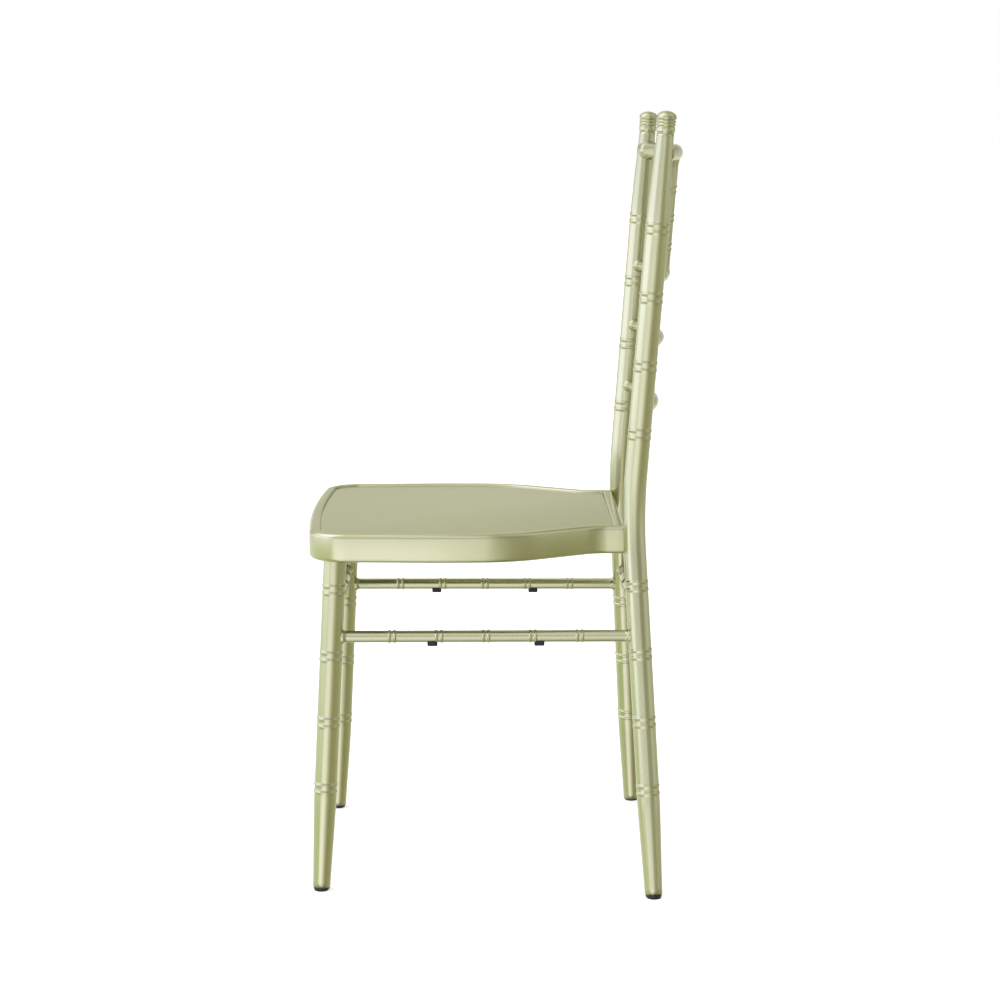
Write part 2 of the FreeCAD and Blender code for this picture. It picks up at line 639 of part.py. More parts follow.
def seat_outline(sketch, inset):
    """Plan of the seat drawn in by the inset: bowed front, round front corners, narrow rear."""
    shrink = value_of(inset)
    corner = size["seat_corner_radius"] - shrink
    front = size["front_edge_radius"] - shrink
    front_centre = size["front_edge_radius"] - seat_front
    corner_y = front_centre - math.sqrt((front - corner) ** 2 - front_half ** 2)
    share = corner / (front - corner)
    side_x = seat_half - shrink
    rear_x = size["seat_rear_width"] / 2 - shrink
    rear_y = size["seat_rear"] - shrink
    half_turn = math.radians(size["slant_angle"]) / 2
    lag = shrink * math.tan(half_turn)
    waist = Vector(side_x, size["seat_rear"] - size["seat_waist_start"] - lag, 0)
    neck = Vector(rear_x, size["seat_rear"] - size["seat_waist_end"] - lag, 0)
    slant = (neck - waist).normalize()
    waist_run = (size["seat_waist_radius"] - shrink) * math.tan(half_turn)
    neck_run = (size["seat_neck_radius"] + shrink) * math.tan(half_turn)
    half = [
        Vector(front_half * (1 + share), corner_y - (front_centre - corner_y) * share, 0),
        Vector(side_x, corner_y, 0),
        Vector(side_x, waist.y - waist_run, 0),
        waist + slant * waist_run,
        neck - slant * neck_run,
        Vector(rear_x, neck.y + neck_run, 0),
        Vector(rear_x, rear_y, 0),
    ]
    points = half + [mirrored(point, -1) for point in reversed(half)]
    count = len(points)
    bends = {
        0: ("seat_corner_radius", 1), 2: ("seat_waist_radius", 1), 4: ("seat_neck_radius", -1),
        8: ("seat_neck_radius", -1), 10: ("seat_waist_radius", 1), 12: ("seat_corner_radius", 1),
        13: ("front_edge_radius", 1),
    }
    radii = {index: "Sizes.%s %s %s" % (name, "-" if way > 0 else "+", inset)
             for index, (name, way) in bends.items()}
    rear_corners = (5, 6)
    begins = []
    for index in range(count):
        start, end = points[index], points[(index + 1) % count]
        shape, begin = Part.LineSegment(start, end), 1
        if index in bends:
            shape, begin = plan_arc(start, end, value_of(radii[index]), bends[index][1])
        sketch.addGeometry(shape, False)
        begins.append(begin)
    for index in range(count):
        follower = (index + 1) % count
        kind = "Coincident" if index in rear_corners else "Tangent"
        sketch.addConstraint(Sketcher.Constraint(
            kind, index, 3 - begins[index], follower, begins[follower]))
    for index, radius in radii.items():
        fix(sketch, Sketcher.Constraint("Radius", index, value_of(radius)), radius)
    for index in (1, 5, 7, 11):
        sketch.addConstraint(Sketcher.Constraint("Vertical", index))
    sketch.addConstraint(Sketcher.Constraint("Horizontal", 6))
    side = "(Sizes.seat_width / 2 - %s)" % inset
    narrow = "(Sizes.seat_rear_width / 2 - %s)" % inset
    for index, across in ((1, side), (5, narrow), (7, "-" + narrow), (11, "-" + side)):
        fix(sketch, Sketcher.Constraint("DistanceX", -1, 1, index, 1, value_of(across)), across)
    rear = "Sizes.seat_rear - %s" % inset
    fix(sketch, Sketcher.Constraint("DistanceY", -1, 1, 6, 1, value_of(rear)), rear)
    pin(sketch, 13, 3, "0", "Sizes.front_edge_radius - Sizes.seat_front")
    for line, way in ((3, ""), (9, "-")):
        for across, start in ((side, "Sizes.seat_waist_start"), (narrow, "Sizes.seat_waist_end")):
            back = "Sizes.seat_rear - %s - %s * tan(Sizes.slant_angle / 2 * 1deg)" % (start, inset)
            spot = Vector(value_of(way + across), value_of(back), 0)
            index = sketch.addGeometry(Part.Point(spot), True)
            pin(sketch, index, 1, way + across, back)
            sketch.addConstraint(Sketcher.Constraint("PointOnObject", index, 1, line))


def seat_slab(name, inset, bottom, height):
    """Slab of the seat's outline drawn in by the inset, between two heights."""
    plan = doc.addObject("Sketcher::SketchObject", name + "_plan")
    seat_outline(plan, inset)
    slab = doc.addObject("Part::Extrusion", name)
    slab.Base = plan
    slab.DirMode = "Custom"
    slab.Dir = Vector(0, 0, 1)
    slab.Solid = True
    slab.setExpression("LengthFwd", height)
    return moved(slab, Placement(Vector(0, 0, bottom), Rotation()))


# Seat frame: hoop of rectangular tube with bevelled outer edges, coped to the posts
TUBE = "Sizes.seat_tube_width"
WALL = "Sizes.seat_tube_wall"
seat_bottom = size["seat_height"] - size["seat_tube_height"]
body = new_body("seat_block")
sketch = new_sketch(body, "XY_Plane", "seat_outer_plan")
seat_outline(sketch, "0")
pad = body.newObject("PartDesign::Pad", "seat_block_pad")
pad.Profile = sketch
pad.setExpression("Length", "Sizes.seat_tube_height")
body.Tip = pad
doc.recompute()
level_edges = ["Edge%d" % (index + 1) for index, edge in enumerate(pad.Shape.Edges)
               if edge.BoundBox.ZLength < 0.01]
bevel = body.newObject("PartDesign::Chamfer", "seat_edges")
bevel.Base = (pad, level_edges)
bevel.setExpression("Size", "Sizes.seat_edge_ease")
body.Tip = bevel
moved(body, Placement(Vector(0, 0, seat_bottom), Rotation()))
inside = seat_slab("inside_hoop", TUBE, seat_bottom, "Sizes.seat_tube_height")
bore_height = "Sizes.seat_tube_height - %s * 2" % WALL
bore_outer = seat_slab("hoop_bore_outer", WALL, seat_bottom + size["seat_tube_wall"], bore_height)
bore_inner = seat_slab("hoop_bore_inner", "(%s - %s)" % (TUBE, WALL), seat_bottom, "Sizes.seat_tube_height")
bore = cut_away("hoop_bore", bore_outer, [bore_inner])
vents = []
for side_name, side in SIDES:
    for end_name, way in (("front", -1), ("rear", 1)):
        spot = Vector(side * (seat_half - size["seat_tube_width"] / 2),
                      size["seat_rear"] - size["seat_waist_start"] - size["seat_waist_radius"] / 2
                      + (way - 1) * size["vent_pitch"] / 2,
                      seat_bottom - size["seat_tube_wall"])
        vents.append(cylinder("vent_%s_%s" % (end_name, side_name), "Sizes.vent_dia / 2", WALL + " * 3",
                              Placement(spot, Rotation())))
keep(cut_away("seat_frame", body, [inside, bore] + vents + [post_spaces[1], post_spaces[-1]]), "seat_frame")

# Seat panel and the plates that carry it over the front legs
keep(seat_slab("seat_panel", TUBE, panel_bottom, "Sizes.panel_sheet"), "seat_panel")
plate_layer = seat_slab("plate_layer", TUBE, leg_top.z, "Sizes.corner_plate_sheet")
for side_name, side in SIDES:
    across = seat_half - size["seat_tube_width"] - size["corner_plate_side"]
    corner = Vector(across if side > 0 else -seat_half, -seat_front, leg_top.z)
    square = box("plate_square_" + side_name, "Sizes.corner_plate_side + %s" % TUBE,
                 "Sizes.corner_plate_side + %s + Sizes.seat_front_bow" % TUBE,
                 "Sizes.corner_plate_sheet", corner)
    plate = doc.addObject("Part::Common", "corner_plate_" + side_name)
    plate.Base = plate_layer
    plate.Tool = square
    keep(plate, "corner_plate_" + side_name)

doc.recompute()
for item in doc.Objects:
    if "Invalid" in item.State or "Error" in item.State:
        raise RuntimeError("%s failed to build: %s" % (item.Label, item.State))
for node in nodes:
    if node.Shape.isNull() or not node.Shape.isValid() or not node.Shape.Solids:
        raise RuntimeError(node.Label + " has no valid shape")
os.makedirs("parts", exist_ok=True)
for node in nodes:
    node.Shape.exportStep(os.path.join("parts", node.Label + ".step"))
    print(node.Label, len(node.Shape.Solids), round(node.Shape.Volume))
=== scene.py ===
import math

import bpy
import numpy as np
from mathutils import Matrix, Vector


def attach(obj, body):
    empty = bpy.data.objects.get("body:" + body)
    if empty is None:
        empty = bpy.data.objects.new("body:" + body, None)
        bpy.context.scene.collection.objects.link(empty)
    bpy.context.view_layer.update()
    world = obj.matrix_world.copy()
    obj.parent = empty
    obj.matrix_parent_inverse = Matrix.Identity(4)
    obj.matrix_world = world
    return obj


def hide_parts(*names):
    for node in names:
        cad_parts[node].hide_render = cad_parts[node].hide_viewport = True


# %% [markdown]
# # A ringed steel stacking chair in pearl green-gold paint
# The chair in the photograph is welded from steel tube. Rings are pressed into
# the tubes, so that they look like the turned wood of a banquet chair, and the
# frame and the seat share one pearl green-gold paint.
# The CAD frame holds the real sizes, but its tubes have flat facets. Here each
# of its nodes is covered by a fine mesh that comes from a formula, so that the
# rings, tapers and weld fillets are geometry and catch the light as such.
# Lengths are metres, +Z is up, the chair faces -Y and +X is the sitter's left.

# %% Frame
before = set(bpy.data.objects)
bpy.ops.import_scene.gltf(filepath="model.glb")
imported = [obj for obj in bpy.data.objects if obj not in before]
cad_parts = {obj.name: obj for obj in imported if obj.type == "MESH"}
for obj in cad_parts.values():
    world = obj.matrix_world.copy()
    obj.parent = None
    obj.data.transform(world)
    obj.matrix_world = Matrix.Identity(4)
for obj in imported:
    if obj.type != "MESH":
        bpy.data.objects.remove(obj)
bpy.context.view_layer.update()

# %% [markdown]
# ## Units
# MM turns the millimetres of a tape measure into metres. SIDES names the two
# mirrored sides, +1 for the sitter's left.

# %% Units
MM = 0.001
SIDES = (("left", 1), ("right", -1))
print("one millimetre is", MM, "m")

# %% [markdown]
# ## Colours
# A hex colour is a display value, but a shader wants linear light. Below
# 0.04045 a display value is divided by 12.92, above it (value + 0.055) / 1.055
# is raised to the power 2.4.


# %% Colour helper
def linear(hex_colour):
    """Linear RGBA of a hex display colour."""
    values = [int(hex_colour[i : i + 2], 16) / 255 for i in (1, 3, 5)]
    return [v / 12.92 if v <= 0.04045 else ((v + 0.055) / 1.055) ** 2.4 for v in values] + [1.0]


print("mid grey in linear light:", round(linear("#808080")[0], 3))

# %% [markdown]
# ## Shader nodes
# Every shader node has a kind, settings and sockets. One function adds a node
# and fills all of them, so a material below reads like a list of its parts.


# %% Node helper
def add_node(tree, kind, inputs=None, **settings):
    """Add a shader node; inputs maps socket names to values or to other sockets."""
    node = tree.nodes.new(kind)
    for key, value in settings.items():
        setattr(node, key, value)
    for key, value in (inputs or {}).items():
        if isinstance(value, bpy.types.NodeSocket):
            tree.links.new(value, node.inputs[key])
        else:
            node.inputs[key].default_value = value
    return node


def new_material(name):
    """A material with an empty node tree."""
    material = bpy.data.materials.new(name)
    material.use_nodes = True
    material.node_tree.nodes.clear()
    return material, material.node_tree


print("helper ready, materials so far:", len(bpy.data.materials))

# %% [markdown]
# ## Pearl paint
# The real finish is a metallic stove enamel: fine flakes in a green-gold
# binder are sprayed on the steel and baked, with a thin clear coat above.
# Flakes reflect like a rough metal, so the shader is nearly metallic. The
# coat adds the second, sharper reflection that shows on the flat seat. Three
# noises are set in real sizes: flakes that vary the roughness, the slight
# unevenness of sprayed paint as a bump, and a slow drift of the colour.

# %% Pearl paint
FLAKES_PER_MM = 4.5
WAVES_PER_MM = 0.6
DRIFTS_PER_MM = 0.022


def pearl_paint():
    """Baked metallic enamel: it gives the eye soft satin highlights in a green-gold colour."""
    material, tree = new_material("pearl_paint")
    place = add_node(tree, "ShaderNodeTexCoord").outputs["Object"]
    flake = add_node(
        tree, "ShaderNodeTexNoise", {"Vector": place, "Scale": FLAKES_PER_MM / MM, "Detail": 2.0}
    )
    drift = add_node(
        tree, "ShaderNodeTexNoise", {"Vector": place, "Scale": DRIFTS_PER_MM / MM, "Detail": 3.0}
    )
    tint = add_node(
        tree,
        "ShaderNodeMix",
        {"Factor": drift.outputs["Fac"], 6: linear("#b5b886"), 7: linear("#bbbd8b")},
        data_type="RGBA",
    )
    rough = add_node(
        tree,
        "ShaderNodeMapRange",
        {"Value": flake.outputs["Fac"], "To Min": 0.20, "To Max": 0.27},
    )
    wave = add_node(
        tree, "ShaderNodeTexNoise", {"Vector": place, "Scale": WAVES_PER_MM / MM, "Detail": 1.0}
    )
    bump = add_node(
        tree,
        "ShaderNodeBump",
        {"Strength": 0.02, "Distance": 0.2 * MM, "Height": wave.outputs["Fac"]},
    )
    surface = add_node(
        tree,
        "ShaderNodeBsdfPrincipled",
        {
            "Base Color": tint.outputs[2],
            "Metallic": 0.9,
            "Roughness": rough.outputs["Result"],
            "Coat Weight": 0.6,
            "Coat Roughness": 0.05,
            "Normal": bump.outputs["Normal"],
        },
    )
    add_node(tree, "ShaderNodeOutputMaterial", {"Surface": surface.outputs["BSDF"]})
    return material


PAINT = pearl_paint()
print(PAINT.name, "has", len(PAINT.node_tree.nodes), "nodes")

# %% [markdown]
# ## Black plastic and rubber
# The glides are moulded polyethylene and the bumpers moulded rubber. Both are
# plain black with the fine grain of a spark-eroded mould, so one function
# makes them, and only the colour, the shine and the grain's size differ.


# %% Black plastic and rubber
def moulded_black(name, colour, roughness, grains_per_mm):
    """Moulded black polymer: a fine grain breaks up its soft sheen."""
    material, tree = new_material(name)
    place = add_node(tree, "ShaderNodeTexCoord").outputs["Object"]
    grain = add_node(
        tree, "ShaderNodeTexNoise", {"Vector": place, "Scale": grains_per_mm / MM, "Detail": 3.0}
    )
    bump = add_node(
        tree,
        "ShaderNodeBump",
        {"Strength": 0.25, "Distance": 0.2 * MM, "Height": grain.outputs["Fac"]},
    )
    surface = add_node(
        tree,
        "ShaderNodeBsdfPrincipled",
        {"Base Color": linear(colour), "Roughness": roughness, "Normal": bump.outputs["Normal"]},
    )
    add_node(tree, "ShaderNodeOutputMaterial", {"Surface": surface.outputs["BSDF"]})
    return material


PLASTIC = moulded_black("black_plastic", "#1a1a1b", 0.42, 1.5)
RUBBER = moulded_black("bumper_rubber", "#161617", 0.6, 2.5)
print("materials:", [material.name for material in bpy.data.materials])

# %% [markdown]
# ## Surfaces from formulas
# Every piece of this chair is a grid of points: rows along it and columns
# around it. Four neighbours in the grid make a face. A tube has a flat cap at
# each end, and the seat's hoop has none, because its last row joins its first.
# Computing the whole grid at once with numpy is quick and leaves no seams.


# %% Mesh from a grid
def grid_object(name, grid, material, caps=("start", "end"), looped=False):
    """Mesh of a rows-by-columns grid of points; its columns always close into a ring."""
    rows, columns = grid.shape[:2]
    index = np.arange(rows * columns).reshape(rows, columns)
    lower = index if looped else index[:-1]
    upper = np.roll(index, -1, axis=0) if looped else index[1:]
    quads = [lower, np.roll(lower, -1, axis=1), np.roll(upper, -1, axis=1), upper]
    faces = np.stack(quads, axis=-1).reshape(-1, 4).tolist()
    if "start" in caps:
        faces.append(index[0][::-1].tolist())
    if "end" in caps:
        faces.append(index[-1].tolist())
    mesh = bpy.data.meshes.new(name)
    mesh.from_pydata(grid.reshape(-1, 3).tolist(), [], faces)
    mesh.polygons.foreach_set("use_smooth", np.ones(len(faces), dtype=bool))
    mesh.materials.append(material)
    mesh.update()
    piece = bpy.data.objects.new(name, mesh)
    bpy.context.scene.collection.objects.link(piece)
    return piece


pieces = []


def finish_piece(piece, slot, *nodes):
    """The piece rides on the frame and stands for its nodes; the slot argument is not used."""
    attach(piece, "root")
    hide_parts(*nodes)
    pieces.append(piece)
    return piece


def tell_about_last(count):
    """Print the name, faces and greatest length of the pieces made last."""
    for piece in pieces[-count:]:
        print(piece.name, len(piece.data.polygons), "faces,", round(max(piece.dimensions), 3), "m")


print("surface helpers ready")

# %% [markdown]
# ## Tubes
# A tube's ring lies in the plane of two unit vectors that are square to its
# centreline. Each point of the ring is centre + radius * (cos a * first +
# sin a * second), and a radius that changes from ring to ring gives tapers
# and turned rings, as a lathe would.


# %% Tubes
def round_piece(name, centres, tangents, radii, columns, material):
    """Tube around a centreline: point = centre + radius * (cos a * first + sin a * second)."""
    centres, tangents = np.asarray(centres, float), np.asarray(tangents, float)
    helper = (0.0, 0.0, 1.0) if abs(tangents[0][2]) < 0.7 else (0.0, 1.0, 0.0)
    first = np.cross(helper, tangents[0])
    first /= np.linalg.norm(first)
    across = first - (tangents @ first)[:, None] * tangents
    across /= np.linalg.norm(across, axis=1)[:, None]
    upward = np.cross(tangents, across)
    angle = np.linspace(0, 2 * math.pi, columns, endpoint=False)
    ring = np.cos(angle)[None, :, None] * across[:, None]
    ring = ring + np.sin(angle)[None, :, None] * upward[:, None]
    grid = centres[:, None] + np.asarray(radii)[:, None, None] * ring
    return grid_object(name, grid, material)


def straight_piece(name, start, end, stations, radii, columns, material):
    """Surface of revolution: stations are distances from start along the line to end."""
    start, end = np.array(start), np.array(end)
    axis = (end - start) / np.linalg.norm(end - start)
    centres = start + np.outer(stations, axis)
    tangents = np.tile(axis, (len(stations), 1))
    return round_piece(name, centres, tangents, radii, columns, material)


print("tube helpers ready for", [name for name, _ in SIDES], "sides")


# %% [markdown]
# ## Turned rings
# The rings come in pairs, like the nodes of bamboo. Each ring rises above the
# tube like one wave of a cosine: height * (1 + cos(2 pi * distance / width))
# / 2 within half a width of its middle. Rows of points stand close together
# near the rings and wide apart between them, which keeps the meshes small.


# %% Ring profile
def bead_rise(stations, centres, spacing, width, height):
    """Rise of pairs of rings over a tube at the given stations."""
    rise = np.zeros_like(stations)
    for centre in centres:
        for middle in (centre - spacing / 2, centre + spacing / 2):
            away = np.abs(stations - middle)
            bump = height * (1 + np.cos(2 * math.pi * away / width)) / 2
            rise = np.maximum(rise, np.where(away < width / 2, bump, 0))
    return rise


def station_list(length, centres, reach, fine, coarse):
    """Stations along a tube, close together near the rings and wide apart between them."""
    even = np.arange(0, length, coarse)
    near = [np.arange(centre - reach, centre + reach + fine / 2, fine) for centre in centres]
    joined = np.concatenate([even, [length]] + near)
    joined = joined[(joined >= 0) & (joined <= length)]
    return np.unique(np.round(joined / (fine / 4)).astype(int)) * (fine / 4)


def swage(stations, start, end, from_radius, to_radius):
    """Radius along a taper: a quarter of it eases as 3 t^2 - 2 t^3, the rest is straight."""
    share = np.clip((stations - start) / (end - start), 0, 1)
    eased = 0.75 * share + 0.25 * share * share * (3 - 2 * share)
    return from_radius + (to_radius - from_radius) * eased


LEG_BEADS = {"spacing": 8.8 * MM, "width": 6.2 * MM, "height": 0.7 * MM}
ROD_BEADS = {"spacing": 6.2 * MM, "width": 4.4 * MM, "height": 0.95 * MM}
print("rings on legs and posts:", LEG_BEADS)
print("rings on stretchers and spindles:", ROD_BEADS)

# %% [markdown]
# ## Axes of the chair
# All tubes hang on two lines on each side: the front leg's axis and the rear
# post's axis with its one bend. Both lean outward and away from the seat
# towards the floor. The right side is the mirror image of the left.

# %% Axes
LEG_RADIUS = 13.5 * MM
FOOT_RADIUS = 10.5 * MM
FOOT_TAPER = 105.0 * MM
FOOT_GAP = 4.5 * MM
LEG_TOP = Vector((163.0, -188.484, 428.5)) * MM
LEG_FOOT = Vector((179.0, -209.484, 0.0)) * MM
POST_BEND = Vector((143.0, 161.816, 450.0)) * MM
POST_FOOT = Vector((213.0, 186.116, 0.0)) * MM
POST_END = Vector((150.5, 195.316, 895.0)) * MM


def at_height(low, high, height):
    """Point of the line low-high at a height."""
    return low + (high - low) * ((height - low.z) / (high.z - low.z))


def mirrored(point, side):
    """The point on the left side, its mirror image on the right."""
    return Vector((point.x * side, point.y, point.z))


print("the feet stand", round((POST_FOOT.y - LEG_FOOT.y) / MM), "mm apart from front to rear")

# %% [markdown]
# ## Front legs
# Steel tube of 27 mm, drawn down to 21 mm over the lowest 105 mm to fit the
# glide, with four pairs of rings. A lathe-like surface of revolution is the
# shortest way to all of it: one radius for each station along the leg.

# %% Front legs
LEG_COLUMNS = 96
LEG_ROWS = {"reach": 8 * MM, "fine": 0.35 * MM, "coarse": 6 * MM}
LEG_RING_START, LEG_RING_PITCH = 120.7 * MM, 79.6 * MM
leg_axis = (LEG_TOP - LEG_FOOT).normalized()
leg_start = LEG_FOOT + leg_axis * (FOOT_GAP / leg_axis.z)
leg_length = (LEG_TOP - leg_start).length
leg_centres = [LEG_RING_START + LEG_RING_PITCH * k for k in range(4)]
leg_stations = station_list(leg_length, leg_centres, **LEG_ROWS)
leg_radii = swage(leg_stations, 0, FOOT_TAPER, FOOT_RADIUS, LEG_RADIUS)
leg_radii = leg_radii + bead_rise(leg_stations, leg_centres, **LEG_BEADS)
for side_name, side in SIDES:
    piece = straight_piece(
        "leg_" + side_name,
        mirrored(leg_start, side),
        mirrored(LEG_TOP, side),
        leg_stations,
        leg_radii,
        LEG_COLUMNS,
        PAINT,
    )
    finish_piece(piece, "frame_paint", "front_leg_" + side_name)
tell_about_last(2)

# %% [markdown]
# ## Rear posts
# Each rear post is one tube from the floor to the finial, bent once at seat
# level on a tube bender. Its centreline is two straight runs joined by an arc.
# The arc's tangent points lie radius * tan(turn / 2) from the corner, and its
# points turn from one run's direction to the other's. The same rings and
# tapers as on the legs follow along this line.

# %% Length along a post
BEND_RADIUS = 450.0 * MM
POST_TOP_RADIUS = 10.0 * MM
POST_TOP_TAPER = 100.0 * MM
post_down = (POST_FOOT - POST_BEND).normalized()
post_up = (POST_END - POST_BEND).normalized()
post_turn = post_down.angle(-post_up)
tangent = BEND_RADIUS * math.tan(post_turn / 2)
lower_length = (POST_FOOT - POST_BEND).length - FOOT_GAP / -post_down.z - tangent
upper_length = (POST_END - POST_BEND).length - tangent
arc_length = BEND_RADIUS * post_turn
post_length = lower_length + arc_length + upper_length
print("length", round(post_length / MM), "mm, bend", round(math.degrees(post_turn), 2), "degrees")

# %% Radius along a post
POST_RING_PITCH = 80.5 * MM
FIRST_RING_BELOW, FIRST_RING_ABOVE = 86.2 * MM, 95.3 * MM
low_corner = lower_length + tangent
high_corner = lower_length + arc_length - tangent
low_centres = [low_corner - FIRST_RING_BELOW - POST_RING_PITCH * k for k in range(4)]
high_centres = [high_corner + FIRST_RING_ABOVE + POST_RING_PITCH * k for k in range(4)]
post_centres = low_centres + high_centres
post_stations = station_list(post_length, post_centres, **LEG_ROWS)
post_radii = swage(post_stations, 0, FOOT_TAPER, FOOT_RADIUS, LEG_RADIUS)
upper_radii = swage(
    post_stations, post_length - POST_TOP_TAPER, post_length, LEG_RADIUS, POST_TOP_RADIUS
)
post_radii = np.minimum(post_radii, upper_radii)
post_radii = post_radii + bead_rise(post_stations, post_centres, **LEG_BEADS)
print("radius from", round(post_radii.min() / MM, 2), "to", round(post_radii.max() / MM, 2), "mm")


# %% Rear posts
def post_line(stations):
    """Centreline of the left post, foot first; the arc is centre + radius * (cos, sin)."""
    down, up, corner = (np.array(v) for v in (post_down, post_up, POST_BEND))
    arc_start = corner + down * tangent
    inward = up + down
    centre = corner + inward / np.linalg.norm(inward) * (BEND_RADIUS / math.cos(post_turn / 2))
    radial = (arc_start - centre) / BEND_RADIUS
    turn = np.clip((stations - lower_length) / BEND_RADIUS, 0, post_turn)[:, None]
    points = centre + BEND_RADIUS * (np.cos(turn) * radial - np.sin(turn) * down)
    directions = -np.sin(turn) * radial - np.cos(turn) * down
    before = np.minimum(stations - lower_length, 0)[:, None]
    after = np.maximum(stations - lower_length - arc_length, 0)[:, None]
    return points + before * directions + after * directions, directions


post_points, post_directions = post_line(post_stations)
for side_name, side in SIDES:
    flip = np.array([side, 1.0, 1.0])
    piece = round_piece(
        "post_" + side_name,
        post_points * flip,
        post_directions * flip,
        post_radii,
        LEG_COLUMNS,
        PAINT,
    )
    finish_piece(piece, "frame_paint", "rear_post_" + side_name)
tell_about_last(2)

# %% [markdown]
# ## Finials
# The knob on a post's end is turned or cast, and welded on. A lathe profile
# describes it: pairs of radius and height for the collar, two thin rings, the
# head and its flat dome. Its rounds are arcs, middle + radius * (cos a,
# sin a), and the dome is an ellipse, which has a radius for each direction.


# %% Finials
def arc_points(middle, radius, start, end, count):
    """(radius, height) pairs along an arc in the lathe's profile plane; angles in degrees."""
    angle = np.radians(np.linspace(start, end, count))
    circle = np.stack([np.cos(angle), np.sin(angle)], axis=1)
    return (np.array(middle) + np.array(radius) * circle).tolist()


POLE_RADIUS = 0.02 * MM
finial_profile = np.array(
    [(8.2, -3.0), (8.2, 0.0), (10.0, 0.0), (10.2, 0.3), (10.2, 1.7), (10.3, 2.0)]
    + arc_points((10.3, 2.6), 0.6, -75, 0, 5)
    + arc_points((10.3, 7.0), 0.6, 0, 75, 5)
    + [(10.25, 7.8), (10.15, 8.1), (10.25, 8.4)]
    + arc_points((9.0, 10.1), 2.1, -48, 48, 11)
    + [(10.3, 11.8), (10.25, 12.0), (10.35, 12.25)]
    + arc_points((9.3, 13.8), 1.9, -48, 48, 11)
    + [(10.4, 15.35), (10.25, 15.6), (10.35, 15.85)]
    + arc_points((9.5, 17.9), 2.1, -62, 30, 12)
    + arc_points((0.0, 18.3), (11.75, 7.7), 14, 90, 18)
) * MM
for side_name, side in SIDES:
    piece = straight_piece(
        "finial_" + side_name,
        mirrored(POST_END, side),
        mirrored(POST_END + post_up * 0.1, side),
        finial_profile[:, 1],
        np.maximum(finial_profile[:, 0], POLE_RADIUS),
        LEG_COLUMNS,
        PAINT,
    )
    finish_piece(piece, "frame_paint", "post_finial_" + side_name)
tell_about_last(2)

# %% [markdown]
# ## Stretchers
# Tubes of 14 mm tie the legs together. Each is cut to the curve of the leg it
# meets and welded there, with five pairs of rings on its way. Here the tube
# simply ends inside the leg. A fillet that widens it over the last few
# millimetres stands for the weld: height * (1 - distance / reach)^2.


# %% Stretchers
STRETCHER_RADIUS = 7.0 * MM
SIDE_HEIGHT = 306.5 * MM
CROSS_HEIGHT = 326.0 * MM
SIDE_RING_PITCH = 55.5 * MM
CROSS_RING_PITCH = 56.0 * MM
ROD_COLUMNS = 64
ROD_ROWS = {"reach": 7 * MM, "fine": 0.3 * MM, "coarse": 4 * MM}
ROD_WELD = {"reach": 4 * MM, "height": 1.6 * MM}
WELD_ZONE = np.arange(12, 20, 0.5) * MM


def fillet_rise(stations, length, inset_start, inset_end, reach, height):
    """Weld fillet at both ends: height * (1 - distance / reach)^2 outside the insets."""
    from_start = np.clip(1 - (stations - inset_start) / reach, 0, 1)
    from_end = np.clip(1 - (length - inset_end - stations) / reach, 0, 1)
    return height * (from_start**2 + from_end**2)


def stretcher(name, start, end, pitch, node):
    """A stretcher between two axes, with rings and weld fillets."""
    length = (end - start).length
    centres = [length / 2 + (k - 2) * pitch for k in range(5)]
    stations = station_list(length, centres, **ROD_ROWS)
    stations = np.unique(np.concatenate([stations, WELD_ZONE, length - WELD_ZONE]).round(7))
    radii = STRETCHER_RADIUS + bead_rise(stations, centres, **ROD_BEADS)
    radii = radii + fillet_rise(stations, length, LEG_RADIUS, LEG_RADIUS, **ROD_WELD)
    piece = straight_piece(name, start, end, stations, radii, ROD_COLUMNS, PAINT)
    return finish_piece(piece, "frame_paint", node)


for side_name, side in SIDES:
    stretcher(
        "side_rod_" + side_name,
        mirrored(at_height(LEG_FOOT, LEG_TOP, SIDE_HEIGHT), side),
        mirrored(at_height(POST_FOOT, POST_BEND, SIDE_HEIGHT), side),
        SIDE_RING_PITCH,
        "side_stretcher_" + side_name,
    )
for end_name, low, high in (("front", LEG_FOOT, LEG_TOP), ("rear", POST_FOOT, POST_BEND)):
    point = at_height(low, high, CROSS_HEIGHT)
    stretcher(
        end_name + "_rod", point, mirrored(point, -1), CROSS_RING_PITCH, end_name + "_stretcher"
    )
tell_about_last(4)

# %% [markdown]
# ## Back rails
# The crest rail is a tube of 20 mm, the three rails below it are tubes of
# 13 mm. All are bowed backwards in a roller to fit the sitter's back. Each is
# an arc of a circle through both post axes: with half chord c and bow b, its
# radius is (c^2 + b^2) / (2 b). A sweep along this arc makes the tube.


# %% Back rails
RAIL_HEIGHTS = {
    "crest_rail": 872.0 * MM,
    "back_rail_upper": 726.0 * MM,
    "back_rail_middle": 650.0 * MM,
    "back_rail_lower": 572.0 * MM,
}
CREST_RADIUS = 10.0 * MM
RAIL_RADIUS = 6.5 * MM
BACK_BOW = 23.0 * MM
RAIL_INSET = 12.5 * MM
RAIL_WELD = {"reach": 5 * MM, "height": 2.2 * MM}
RAIL_ROWS = 121
RAIL_COLUMNS = 72


def rail_arc(height):
    """Post axis point, arc radius and arc centre of the rail at a height."""
    on_post = at_height(POST_BEND, POST_END, height)
    radius = (on_post.x**2 + BACK_BOW**2) / (2 * BACK_BOW)
    centre = Vector((0, on_post.y + BACK_BOW - radius, height))
    return on_post, radius, centre


